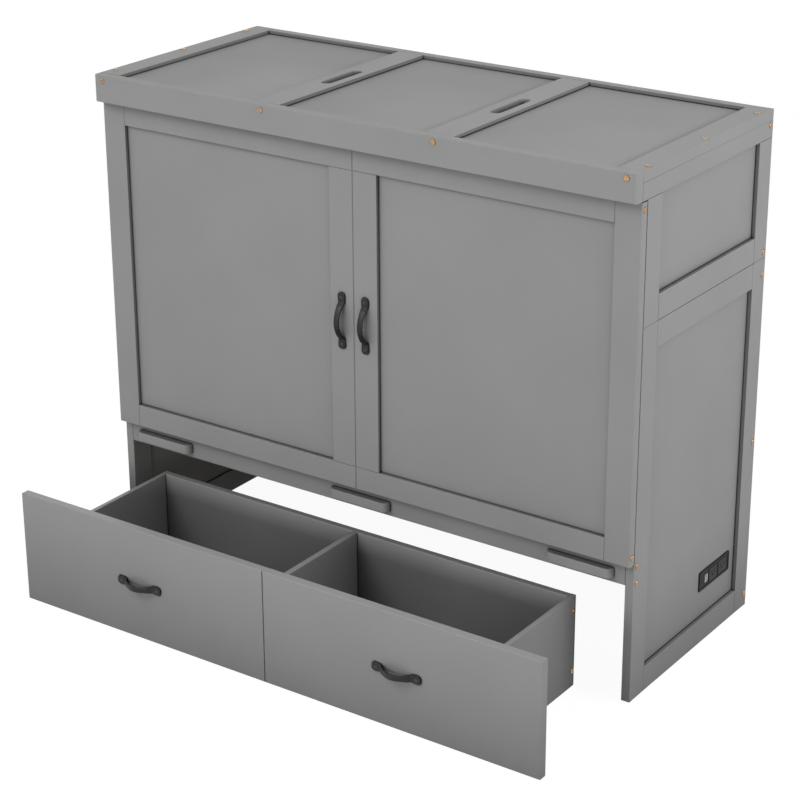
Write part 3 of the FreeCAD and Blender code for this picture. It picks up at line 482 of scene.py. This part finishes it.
def lathed(form, profile, centre, steps=72):
    """Turn a profile of (place along X, radius) points round the X axis, closed on itself, and
    give back its faces."""
    rings = []
    for x, r in profile + profile[:1]:
        turns = [2 * math.pi * k / steps for k in range(steps)]
        rings.append([centre + Vector((x, r * math.cos(a), r * math.sin(a))) for a in turns])
    first = len(form.faces)
    skin_rings(form, rings, closed=False)
    form.faces.ensure_lookup_table()
    return form.faces[first:]


def caster_wheel(node, body):
    """A solid rubber tyre with a crowned tread on a moulded hub with a recessed web."""
    low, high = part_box(node)
    centre, half, radius = (low + high) / 2, (high.x - low.x) / 2, (high.z - low.z) / 2
    seat, shoulder = radius - tyre_depth, radius - tread_crown - tyre_shoulder
    tyre = [(-half + tyre_side_inset, seat)]
    tyre += [(-half + tyre_shoulder * (1 - math.sin(a)), shoulder + tyre_shoulder * math.cos(a))
             for a in map(math.radians, (90, 65, 40, 20, 0))]
    tyre += [(0, radius)]
    tyre += [(-x, r) for x, r in reversed(tyre[:-1])]
    boss = wheel_bore + hub_boss
    web, rim = -half + web_inset, -half + rim_inset
    hub = [(-half, wheel_bore), (-half, boss), (web, boss + boss_slope), (web, seat - web_end),
           (rim, seat - rim_start), (rim, seat)]
    hub += [(-x, r) for x, r in reversed(hub)]
    form = bmesh.new()
    lathed(form, tyre, centre)
    for face in lathed(form, hub, centre):
        face.material_index = 1
    wheel = piece_from(node + "_tyre_and_hub", form, body, [tyre_rubber, socket_plastic])
    bevel = wheel.modifiers.new("Moulded edges", "BEVEL")
    bevel.width = moulded_edge
    bevel.segments = 2
    bevel.angle_limit = math.radians(35)
    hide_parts(node)


for corner in ("front_left", "front_right", "rear_left", "rear_right"):
    caster_wheel("wheel_" + corner, corner + "_wheel")


def eased_plate(form, low, high, radius):
    """A small plate between two corners, its edges rounded."""
    size = high - low
    turn = Matrix.Translation((low + high) / 2) @ Matrix.Diagonal((*size, 1))
    made = bmesh.ops.create_cube(form, size=1, matrix=turn)
    edges = {e for v in made["verts"] for e in v.link_edges}
    bmesh.ops.bevel(form, geom=list(edges), offset=radius, segments=2, profile=0.5, affect="EDGES")


def power_unit_details():
    """The tongues in the two USB ports, and the two black screws of the unit's face."""
    low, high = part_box("usb_module")
    y, z = (low.y + high.y) / 2, (low.z + high.z) / 2
    form = bmesh.new()
    for port in (z - usb_port_spacing / 2, z + usb_port_spacing / 2):
        root = Vector((high.x - tongue_root, y - tongue_front, port - tongue_half_height))
        tip = Vector((high.x - tongue_tip, y + tongue_rear, port + tongue_half_height))
        eased_plate(form, root, tip, tongue_edge)
    tongues = piece_from("usb_port_tongues", form, "cabinet", [black_plastic])
    front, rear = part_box("power_housing")
    heads = bmesh.new()
    for across in (front.y + face_screw_inset, rear.y - face_screw_inset):
        seat = Vector((across, z, rear.x - rim_let_in))
        cross_head(heads, seat, face_screw_radius, face_screw_height)
    turn = Matrix(((0, 0, 1), (1, 0, 0), (0, 1, 0))).to_4x4()
    screws = piece_from("power_unit_screws", heads, "cabinet", [blackened_steel], turn)


power_unit_details()

# ---------------------------------------------------------------- floor, light and camera
floor_mesh = bpy.data.meshes.new("Floor")
floor_corners = [(x * floor_reach, y * floor_reach, 0) for x, y in ((-1, -1), (1, -1), (1, 1), (-1, 1))]
floor_mesh.from_pydata(floor_corners, [], [(0, 1, 2, 3)])
floor = bpy.data.objects.new("Floor", floor_mesh)
bpy.context.scene.collection.objects.link(floor)


def seen_directly(tree):
    """1 for what the camera sees, straight on or in a shiny or clear surface, else 0."""
    ray = add(tree, "ShaderNodeLightPath").outputs
    shiny = add(tree, "ShaderNodeMath", {0: ray["Is Camera Ray"], 1: ray["Is Glossy Ray"]},
                operation="MAXIMUM")
    clear = add(tree, "ShaderNodeMath", {0: shiny.outputs["Value"], 1: ray["Is Transmission Ray"]},
                operation="MAXIMUM")
    return clear.outputs["Value"]


# A plain white floor that shows only a trace of the shadow on it, and lights the rest as a pale one.
floor_finish, tree, shader, _ = new_finish("White floor")
tree.nodes.remove(shader)
bounce = add(tree, "ShaderNodeBsdfDiffuse", {"Color": (floor_grey, floor_grey, floor_grey, 1)})
glow = add(tree, "ShaderNodeEmission", {"Color": (1, 1, 1, 1), "Strength": floor_glow})
trace = add(tree, "ShaderNodeBsdfDiffuse", {"Color": (floor_trace, floor_trace, floor_trace, 1)})
shown = add(tree, "ShaderNodeAddShader", {0: glow.outputs[0], 1: trace.outputs[0]})
both = add(tree, "ShaderNodeMixShader", {0: seen_directly(tree), 1: bounce.outputs[0],
                                         2: shown.outputs[0]})
output = next(n for n in tree.nodes if n.type == "OUTPUT_MATERIAL")
tree.links.new(both.outputs[0], output.inputs["Surface"])
floor_mesh.materials.append(floor_finish)

world = bpy.data.worlds.new("Soft white room")
bpy.context.scene.world = world
world.use_nodes = True
tree = world.node_tree
tree.nodes.clear()
room = add(tree, "ShaderNodeBackground", {"Color": (1, 1, 1, 1), "Strength": sky_strength})
white = add(tree, "ShaderNodeBackground", {"Color": (1, 1, 1, 1), "Strength": 1.0})
both = add(tree, "ShaderNodeMixShader", {0: seen_directly(tree), 1: room.outputs[0],
                                         2: white.outputs[0]})
add(tree, "ShaderNodeOutputWorld", {"Surface": both.outputs[0]})


for name, (place, width, height, power) in lamps.items():
    lamp = bpy.data.lights.new(name, "AREA")
    lamp.shape = "RECTANGLE"
    lamp.size, lamp.size_y, lamp.energy = width, height, power
    stand = bpy.data.objects.new(name, lamp)
    stand.location = place
    stand.rotation_euler = (lamp_target - stand.location).to_track_quat("-Z", "Y").to_euler()
    bpy.context.scene.collection.objects.link(stand)

eye = bpy.data.cameras.new("Camera")
eye.lens = camera_lens
eye.sensor_width = camera_sensor
eye.shift_x, eye.shift_y = camera_shift
eye.clip_end = 100
camera = bpy.data.objects.new("Camera", eye)
level_right = Vector((-camera_back.y, camera_back.x, 0)).normalized()
level_up = camera_back.cross(level_right)
right = level_right * math.cos(camera_roll) + level_up * math.sin(camera_roll)
up = level_up * math.cos(camera_roll) - level_right * math.sin(camera_roll)
turn = Matrix((right, up, camera_back)).transposed().to_4x4()
turn.translation = camera_place
camera.matrix_world = turn
bpy.context.scene.collection.objects.link(camera)
bpy.context.scene.camera = camera
bpy.context.scene.view_settings.view_transform = "Standard"
